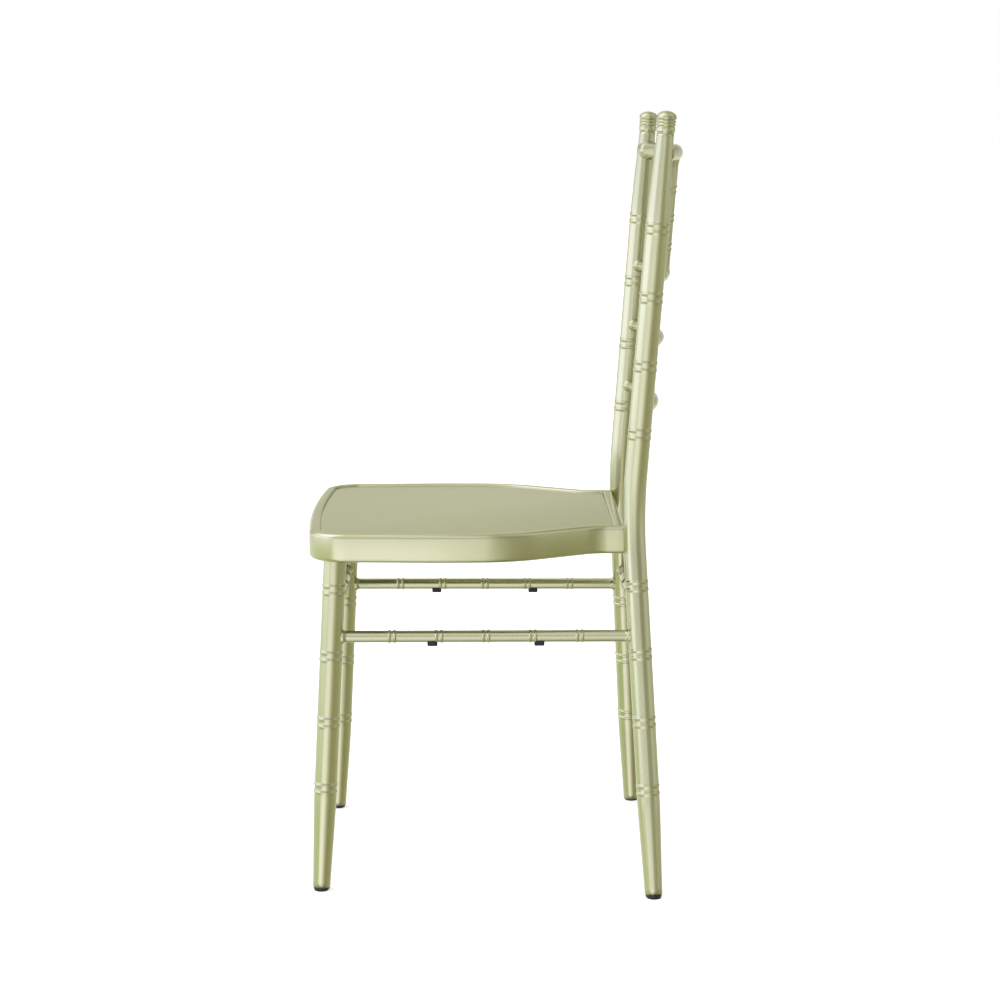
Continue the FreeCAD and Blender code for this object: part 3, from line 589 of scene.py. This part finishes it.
for label, height in RAIL_HEIGHTS.items():
    on_post, radius, centre = rail_arc(height)
    tube = CREST_RADIUS if label == "crest_rail" else RAIL_RADIUS
    half = math.asin(on_post.x / radius)
    angle = np.linspace(-half, half, RAIL_ROWS)
    level = np.full(RAIL_ROWS, height)
    points = np.stack([radius * np.sin(angle), centre.y + radius * np.cos(angle), level], axis=1)
    directions = np.stack([np.cos(angle), -np.sin(angle), np.zeros(RAIL_ROWS)], axis=1)
    along = radius * (angle + half)
    radii = tube + fillet_rise(along, along[-1], RAIL_INSET, RAIL_INSET, **RAIL_WELD)
    piece = round_piece(label + "_skin", points, directions, radii, RAIL_COLUMNS, PAINT)
    finish_piece(piece, "frame_paint", label)
tell_about_last(4)

# %% [markdown]
# ## Back spindles
# Five short tubes of 12 mm fill the back between the upper rail and the crest
# rail. They stand at an even pitch along the bow, have three pairs of rings
# each and are welded to both rails. They are made like the stretchers.


# %% Back spindles
SPINDLE_RADIUS = 6.0 * MM
SPINDLE_PITCH = 49.0 * MM
SPINDLE_RING_PITCH = 34.3 * MM
SPINDLE_WELD = {"reach": 3 * MM, "height": 1.0 * MM}


def rail_point(height, across):
    """Point of a rail's axis at a distance from the middle plane."""
    _, radius, centre = rail_arc(height)
    return Vector((across, centre.y + math.sqrt(radius**2 - across**2), height))


for number in range(5):
    across = (number - 2) * SPINDLE_PITCH
    low = rail_point(RAIL_HEIGHTS["back_rail_upper"], across)
    high = rail_point(RAIL_HEIGHTS["crest_rail"], across)
    length = (high - low).length
    centres = [SPINDLE_RING_PITCH * (k + 1) for k in range(3)]
    stations = station_list(length, centres, **ROD_ROWS)
    radii = SPINDLE_RADIUS + bead_rise(stations, centres, **ROD_BEADS)
    radii = radii + fillet_rise(stations, length, RAIL_RADIUS, CREST_RADIUS, **SPINDLE_WELD)
    name = "spindle_%d" % (number + 1)
    piece = straight_piece(name, low, high, stations, radii, ROD_COLUMNS, PAINT)
    finish_piece(piece, "frame_paint", "back_spindle_%d" % (number + 1))
tell_about_last(5)

# %% [markdown]
# ## Seat plan
# The seat's outline is a chain of arcs joined by straight lines: the bowed
# front, the corner, the waist, the neck and the heel between the posts. A
# point at inset d lies on an arc whose radius is smaller by d where the
# outline is convex and larger by d where it is hollow. So one function gives
# the outer edge, the inner edge and every line between them. The sides swell
# a little: swell * sin^2 of the share of the way along them.

# %% Sizes of the seat
SEAT_TOP = 435.0 * MM
SEAT_HALF = 203.0 * MM
SEAT_FRONT = -226.584 * MM
SEAT_REAR = 153.416 * MM
REAR_HALF = 145.0 * MM
FRONT_BOW = 6.0 * MM
WAIST_START = 131.5 * MM
WAIST_END = 34.5 * MM
CORNER_RADIUS = 45.0 * MM
WAIST_RADIUS = 130.0 * MM
NECK_RADIUS = 49.0 * MM
HEEL_RADIUS = 3.0 * MM
SIDE_SWELL = 4.0 * MM
SWELL_LENGTH = 251.0 * MM
PLAN_STEP = 6 * MM
waist_turn = math.atan2(SEAT_HALF - REAR_HALF, WAIST_START - WAIST_END)
print("the waist turns inwards by", round(math.degrees(waist_turn), 1), "degrees")


# %% Seat plan
def seat_plan(inset):
    """Closed plan line of the seat at an inset, counter-clockwise from the front middle."""
    front_half = SEAT_HALF - CORNER_RADIUS
    front_radius = (front_half**2 + FRONT_BOW**2) / 2 / FRONT_BOW
    front_centre = SEAT_FRONT + front_radius
    corner_y = front_centre - math.sqrt((front_radius - CORNER_RADIUS) ** 2 - front_half**2)
    lean = math.degrees(math.asin(front_half / (front_radius - CORNER_RADIUS)))
    turn = math.degrees(waist_turn)
    waist_y = SEAT_REAR - WAIST_START - WAIST_RADIUS * math.tan(waist_turn / 2)
    neck_y = SEAT_REAR - WAIST_END + NECK_RADIUS * math.tan(waist_turn / 2)
    # centre x and y, radius, first and last angle, +1 convex or -1 hollow, points
    arcs = [
        (0, front_centre, front_radius, -90, -90 + lean, 1, 60),
        (front_half, corner_y, CORNER_RADIUS, -90 + lean, 0, 1, 40),
        (SEAT_HALF - WAIST_RADIUS, waist_y, WAIST_RADIUS, 0, turn, 1, 30),
        (REAR_HALF + NECK_RADIUS, neck_y, NECK_RADIUS, 180 + turn, 180, -1, 24),
        (REAR_HALF - HEEL_RADIUS, SEAT_REAR - HEEL_RADIUS, HEEL_RADIUS, 0, 90, 1, 10),
    ]
    half = []
    for x, y, radius, start, end, way, count in arcs:
        angle = np.radians(np.linspace(start, end, count))
        reach = max(radius - way * inset, 0)
        past = max(way * inset - radius, 0)
        circle = np.stack([np.cos(angle), np.sin(angle)], axis=1)
        half.append(np.array([x - past, y - past]) + reach * circle)
    half = np.concatenate(half)
    return np.concatenate([half, (half[::-1] * (-1, 1))[:-1]])


def plan_with_middles(inset):
    """The seat plan with points added on its long straight stretches, and the sides' swell."""
    line, outer = seat_plan(inset), seat_plan(0)
    step = np.linalg.norm(np.roll(outer, -1, axis=0) - outer, axis=1)
    counts = np.maximum(1, (step / PLAN_STEP).astype(int))
    owner = np.repeat(np.arange(len(line)), counts)
    place = np.arange(len(owner)) - np.repeat(np.cumsum(counts) - counts, counts)
    share = (place / counts[owner])[:, None]
    plan = line[owner] + (np.roll(line, -1, axis=0) - line)[owner] * share
    along = np.clip((plan[:, 1] - SEAT_FRONT - CORNER_RADIUS) / SWELL_LENGTH, 0, 1)
    swell = SIDE_SWELL * np.sin(math.pi * along) ** 2
    plan[:, 0] += np.sign(plan[:, 0]) * swell * (np.abs(plan[:, 0]) > SEAT_HALF / 2)
    return plan


print("points round the seat:", len(plan_with_middles(0)))

# %% [markdown]
# ## Seat hoop
# A rectangular tube of 13 by 34 mm is bent into a closed hoop and welded to
# the posts. Its outer edges are well rounded, its inner ones only slightly.
# The hoop is one grid: each row runs along the whole plan, at the inset and
# the height of one point of the tube's section.


# %% Seat hoop
HOOP_WIDTH = 13.0 * MM
HOOP_HEIGHT = 34.0 * MM
HOOP_OUTER_ROUND = 5.5 * MM
HOOP_INNER_ROUND = 2.5 * MM


def section_ring(width, height, near, far, count):
    """Rounded rectangle, counter-clockwise from its near side, with a radius for each side."""
    middles = [(near, near), (width - far, far), (width - far, height - far), (near, height - near)]
    radii = np.array([near, far, far, near])[:, None, None]
    angle = np.radians(np.linspace(180, 270, count) + 90 * np.arange(4)[:, None])
    corners = np.array(middles)[:, None] + radii * np.stack([np.cos(angle), np.sin(angle)], axis=-1)
    return corners.reshape(-1, 2)


def level_line(line, height):
    """The points of a plan line, all at one height."""
    return np.column_stack([line, np.full(len(line), height)])


hoop_section = section_ring(HOOP_WIDTH, HOOP_HEIGHT, HOOP_OUTER_ROUND, HOOP_INNER_ROUND, 10)
hoop_rows = [
    level_line(plan_with_middles(inset), SEAT_TOP - HOOP_HEIGHT + rise)
    for inset, rise in hoop_section[::-1]
]
hoop = grid_object("seat_hoop", np.stack(hoop_rows), PAINT, caps=(), looped=True)
finish_piece(hoop, "frame_paint", "seat_frame")
tell_about_last(1)

# %% [markdown]
# ## Seat panel
# The seat itself is a steel sheet of 1.5 mm, 2 mm below the hoop's rim. Its
# rolled edge dips into the seam, so a thin dark line runs round it inside the
# rim. Each pair below is an inset from the hoop and a height over the sheet's
# top, in millimetres, and makes one row of the grid.

# %% Seat panel
PANEL_TOP = 433.0 * MM
PANEL_SHEET = 1.5 * MM
PANEL_EDGE = [(0.3, -1.5), (0.3, -0.9), (0.5, -0.5), (0.9, -0.2), (1.6, -0.03), (2.4, 0.0)]
panel_rows = [
    level_line(plan_with_middles(HOOP_WIDTH + inset * MM), PANEL_TOP + rise * MM)
    for inset, rise in PANEL_EDGE
]
panel = grid_object("seat_sheet", np.stack(panel_rows), PAINT)
finish_piece(panel, "frame_paint", "seat_panel")
tell_about_last(1)

# %% [markdown]
# ## Corner plates
# Two sheets of 3 mm lie under the panel in the seat's front corners and carry
# the tops of the front legs. Their outline is the hoop's inner line as far as
# the plate reaches, and one corner. They stay flat shaded, as cut sheet is.


# %% Corner plates
PLATE_SHEET = 3.0 * MM
PLATE_SIDE = 54.0 * MM


def corner_plate(name, side, node):
    """Sheet in one front corner; on the right the outline is mirrored and runs backwards."""
    plan = plan_with_middles(HOOP_WIDTH)
    inner_x = SEAT_HALF - HOOP_WIDTH - PLATE_SIDE
    rear_y = SEAT_FRONT + HOOP_WIDTH + PLATE_SIDE
    arc = plan[(plan[:, 0] > inner_x) & (plan[:, 1] < rear_y)]
    arc = arc[np.argsort(np.arctan2(arc[:, 1], arc[:, 0]))]
    outline = np.vstack([[inner_x, arc[0, 1]], arc, [arc[-1, 0], rear_y], [inner_x, rear_y]])
    outline = (outline * (side, 1))[::side]
    top = PANEL_TOP - PANEL_SHEET
    rows = [level_line(outline, top - PLATE_SHEET), level_line(outline, top)]
    piece = grid_object(name, np.stack(rows), PAINT)
    piece.data.polygons.foreach_set("use_smooth", np.zeros(len(piece.data.polygons), dtype=bool))
    return finish_piece(piece, "frame_paint", node)


for side_name, side in SIDES:
    corner_plate("plate_" + side_name, side, "corner_plate_" + side_name)
tell_about_last(2)

# %% [markdown]
# ## Glides
# A glide is a moulded plug in the end of each leg that protects the floor. It
# is a lathe profile again, with a rounded foot. The legs lean, so the lower
# edge of the leaning plug is cut level: no point lies below the floor.

# %% Glides
FLOOR_GAP = 0.05 * MM
glide_profile = np.array(
    [(8.6, -6.5)] + arc_points((8.5, -2.0), 1.2, -60, 30, 5) + [(9.7, -1.2), (9.7, 0.4)]
) * MM
post_start = POST_FOOT - post_down * (FOOT_GAP / -post_down.z)
for end_name, foot, upper in (("front", leg_start, LEG_TOP), ("rear", post_start, POST_BEND)):
    for side_name, side in SIDES:
        piece = straight_piece(
            "glide_%s_%s" % (end_name, side_name),
            mirrored(foot, side),
            mirrored(upper, side),
            glide_profile[:, 1],
            glide_profile[:, 0],
            ROD_COLUMNS,
            PLASTIC,
        )
        points = np.empty(len(piece.data.vertices) * 3)
        piece.data.vertices.foreach_get("co", points)
        points = points.reshape(-1, 3)
        points[:, 2] = np.maximum(points[:, 2], FLOOR_GAP)
        piece.data.vertices.foreach_set("co", points.ravel())
        finish_piece(piece, "black_plastic", "foot_glide_%s_%s" % (end_name, side_name))
tell_about_last(4)

# %% [markdown]
# ## Bumpers
# Rubber saddles under the side stretchers keep stacked chairs apart. Each is
# a rounded rectangle drawn out along the stretcher. Near both ends it is
# drawn in a little more from row to row, which rounds those edges too.

# %% Bumpers
BUMPER_REACH = 63.3 * MM
BUMPER_SIZE = np.array([11.0, 7.6]) * MM
BUMPER_ROUND = 1.8 * MM
BUMPER_DROP = 11.0 * MM
bumper_along = np.array([-6, -5.9, -5.6, -5.1, -4.4, 0, 4.4, 5.1, 5.6, 5.9, 6]) * MM
bumper_draw = np.array([1.6, 0.9, 0.4, 0.1, 0, 0, 0, 0.1, 0.4, 0.9, 1.6]) * MM
bumper_section = section_ring(*BUMPER_SIZE, BUMPER_ROUND, BUMPER_ROUND, 8) - BUMPER_SIZE / 2
shrink = 1 - 2 * bumper_draw[:, None, None] / BUMPER_SIZE
across = bumper_section * shrink + (0, BUMPER_SIZE[1] / 2 - BUMPER_DROP)
for side_name, side in SIDES:
    start = mirrored(at_height(LEG_FOOT, LEG_TOP, SIDE_HEIGHT), side)
    end = mirrored(at_height(POST_FOOT, POST_BEND, SIDE_HEIGHT), side)
    run = (end - start).normalized()
    sideways = Vector((0, 0, 1)).cross(run).normalized()
    for end_name, way in (("front", -1), ("rear", 1)):
        centre = (start + end) / 2 + run * way * BUMPER_REACH
        grid = (
            np.array(centre)
            + bumper_along[:, None, None] * np.array(run)
            + across[:, :, :1] * np.array(sideways)
            + across[:, :, 1:] * np.array((0, 0, 1.0))
        )
        piece = grid_object("bumper_%s_%s" % (end_name, side_name), grid, RUBBER)
        finish_piece(piece, "bumper_rubber", "stacking_bumper_%s_%s" % (end_name, side_name))
tell_about_last(4)

# %% [markdown]
# ## Floor
# The chair stands on a white studio floor that takes a faint shadow where the
# feet touch it. A part of its white is its own glow, so that it meets the
# white of the background without an edge. The painted light below already
# holds what the floor sends back, so reflections don't see the floor itself.


# %% Floor
FLOOR_REACH = 30.0
FLOOR_GLOW = 0.5


def floor():
    """Matt white floor sheet with a soft glow of its own."""
    mesh = bpy.data.meshes.new("floor")
    low, high = -FLOOR_REACH, FLOOR_REACH
    corners = [(low, low, 0), (high, low, 0), (high, high, 0), (low, high, 0)]
    mesh.from_pydata(corners, [], [(0, 1, 2, 3)])
    material, tree = new_material("floor")
    surface = add_node(
        tree,
        "ShaderNodeBsdfPrincipled",
        {"Base Color": linear("#f3f2e4"), "Roughness": 0.9, "Specular IOR Level": 0.0},
    )
    glow = add_node(
        tree, "ShaderNodeEmission", {"Color": (1, 1, 1, 1), "Strength": FLOOR_GLOW}
    )
    both = add_node(
        tree, "ShaderNodeAddShader", {0: surface.outputs["BSDF"], 1: glow.outputs["Emission"]}
    )
    add_node(tree, "ShaderNodeOutputMaterial", {"Surface": both.outputs["Shader"]})
    mesh.materials.append(material)
    ground = bpy.data.objects.new("floor", mesh)
    bpy.context.scene.collection.objects.link(ground)
    ground.visible_glossy = False
    return ground


print("the floor is", round(floor().dimensions.x), "m wide")

# %% [markdown]
# ## Light by compass bearing
# Polished paint shows the room around it. So the room is painted as a table
# of light: for each compass bearing in degrees, with 0 towards the sitter's
# left and 90 to the rear, the red, green and blue light that comes from there.
# One table holds the light near the horizon, one the light just below it, and
# the third dims both by the height of the ray, from -1 below to +1 above. The
# dark bearings put the olive bands on the tubes, the bright ones the glints.

# %% Light by compass bearing
NEAR_HORIZON = (
    (-180, (0.93, 0.93, 0.72)),
    (-138, (0.95, 0.98, 0.92)),
    (-108, (2.10, 2.06, 3.10)),
    (-60, (2.25, 2.20, 3.40)),
    (-42, (1.25, 1.24, 1.60)),
    (-16, (1.15, 1.16, 1.45)),
    (8, (1.25, 1.23, 1.60)),
    (20, (0.58, 0.58, 0.58)),
    (50, (0.54, 0.54, 0.52)),
    (68, (0.98, 0.95, 1.12)),
    (102, (0.85, 0.83, 0.95)),
    (130, (0.52, 0.52, 0.48)),
    (166, (0.60, 0.60, 0.48)),
    (180, (0.93, 0.93, 0.72)),
)
BELOW_HORIZON = (
    (-180, (0.90, 0.92, 0.72)),
    (-134, (1.00, 1.03, 1.00)),
    (-97, (0.86, 0.91, 0.68)),
    (-50, (0.84, 0.89, 0.70)),
    (-36, (1.85, 1.77, 2.40)),
    (-6, (1.82, 1.74, 2.35)),
    (12, (1.05, 1.00, 1.05)),
    (34, (0.54, 0.51, 0.42)),
    (46, (0.42, 0.40, 0.25)),
    (70, (0.46, 0.44, 0.30)),
    (110, (0.60, 0.58, 0.46)),
    (140, (0.70, 0.70, 0.60)),
    (180, (0.90, 0.92, 0.72)),
)
HEIGHTS = (
    (-1.0, 0.45),
    (-0.92, 0.60),
    (-0.8, 0.82),
    (-0.5, 0.90),
    (-0.3, 1.0),
    (0.04, 1.0),
    (0.12, 0.68),
    (0.2, 0.60),
    (0.4, 0.80),
    (0.7, 1.0),
    (1.0, 1.0),
)
BRIGHTEST = 4.0
print("bearings:", len(NEAR_HORIZON), "near and", len(BELOW_HORIZON), "below the horizon")

# %% [markdown]
# ## Painted studio
# The world shader turns the tables into light. A ray's bearing is the arc
# tangent of its Y over its X. A colour ramp holds values up to 1, so the
# tables are stored divided by BRIGHTEST, and the strength gives it back once
# for each of the two ramps that are multiplied. The camera itself sees white.


# %% Painted studio
HORIZON_BLEND = {"From Min": -0.17, "From Max": -0.02}


def ramp(tree, value, stops):
    """Radiance along a value from 0 to 1, by straight lines between (value, radiance) stops."""
    node = add_node(tree, "ShaderNodeValToRGB", {"Fac": value})
    elements = node.color_ramp.elements
    for place, _ in stops[1:-1]:
        elements.new(place)
    for element, (place, light) in zip(elements, stops):
        element.position = place
        element.color = [channel / BRIGHTEST for channel in light] + [1.0]
    return node.outputs["Color"]


def painted_studio():
    """World whose radiance depends on the compass bearing and on the height above the horizon."""
    world = bpy.data.worlds.new("studio")
    bpy.context.scene.world = world
    world.use_nodes = True
    tree = world.node_tree
    tree.nodes.clear()
    place = add_node(tree, "ShaderNodeTexCoord").outputs["Generated"]
    axes = add_node(tree, "ShaderNodeSeparateXYZ", {"Vector": place}).outputs
    bearing = add_node(tree, "ShaderNodeMath", {0: axes["Y"], 1: axes["X"]}, operation="ARCTAN2")
    turn = add_node(
        tree,
        "ShaderNodeMapRange",
        {"Value": bearing.outputs[0], "From Min": -math.pi, "From Max": math.pi},
    ).outputs[0]
    lift = add_node(
        tree, "ShaderNodeMapRange", {"Value": axes["Z"], "From Min": -1.0, "From Max": 1.0}
    ).outputs[0]
    upper, lower = (
        ramp(tree, turn, [((angle + 180) / 360, light) for angle, light in stops])
        for stops in (NEAR_HORIZON, BELOW_HORIZON)
    )
    share = add_node(tree, "ShaderNodeMapRange", {"Value": axes["Z"], **HORIZON_BLEND})
    around = add_node(
        tree,
        "ShaderNodeMix",
        {"Factor": share.outputs[0], 6: lower, 7: upper},
        data_type="RGBA",
    )
    height = ramp(tree, lift, [((z + 1) / 2, (level,) * 3) for z, level in HEIGHTS])
    both = add_node(
        tree,
        "ShaderNodeMix",
        {"Factor": 1.0, 6: around.outputs[2], 7: height},
        data_type="RGBA",
        blend_type="MULTIPLY",
    )
    air = add_node(
        tree, "ShaderNodeBackground", {"Color": both.outputs[2], "Strength": BRIGHTEST**2}
    )
    white = add_node(tree, "ShaderNodeBackground", {"Color": (1, 1, 1, 1), "Strength": 1.0})
    seen = add_node(tree, "ShaderNodeLightPath").outputs["Is Camera Ray"]
    mixed = add_node(
        tree,
        "ShaderNodeMixShader",
        {0: seen, 1: air.outputs["Background"], 2: white.outputs["Background"]},
    )
    add_node(tree, "ShaderNodeOutputWorld", {"Surface": mixed.outputs["Shader"]})
    return tree


print("the studio has", len(painted_studio().nodes), "nodes")

# %% [markdown]
# ## Camera
# The photograph was taken with a long lens from the sitter's left, a little
# above the seat and looking slightly down. YAW and PITCH turn the view from
# straight across the chair. A camera looks along its own -Z with +Y up, so its
# matrix holds the right, up and backward directions as columns.

# %% Camera
YAW = math.radians(0.55)
PITCH = math.radians(8.84)
CAMERA_PLACE = (3.017, -0.02308, 0.913)
FOCAL_LENGTH = 88.488
SENSOR_WIDTH = 36.0
forward = Vector(
    (-math.cos(YAW) * math.cos(PITCH), math.sin(YAW) * math.cos(PITCH), -math.sin(PITCH))
)
right = Vector((math.sin(YAW), math.cos(YAW), 0))
up = right.cross(forward)
camera = bpy.data.objects.new("camera", bpy.data.cameras.new("camera"))
bpy.context.scene.collection.objects.link(camera)
turned = Matrix((right, up, -forward)).transposed().to_4x4()
camera.matrix_world = Matrix.Translation(CAMERA_PLACE) @ turned
camera.data.sensor_width = SENSOR_WIDTH
camera.data.lens = FOCAL_LENGTH
camera.data.dof.use_dof = False
bpy.context.scene.camera = camera
bpy.context.scene.view_settings.view_transform = "Standard"
print("camera", round(Vector(CAMERA_PLACE).length, 2), "m away with a lens of", FOCAL_LENGTH, "mm")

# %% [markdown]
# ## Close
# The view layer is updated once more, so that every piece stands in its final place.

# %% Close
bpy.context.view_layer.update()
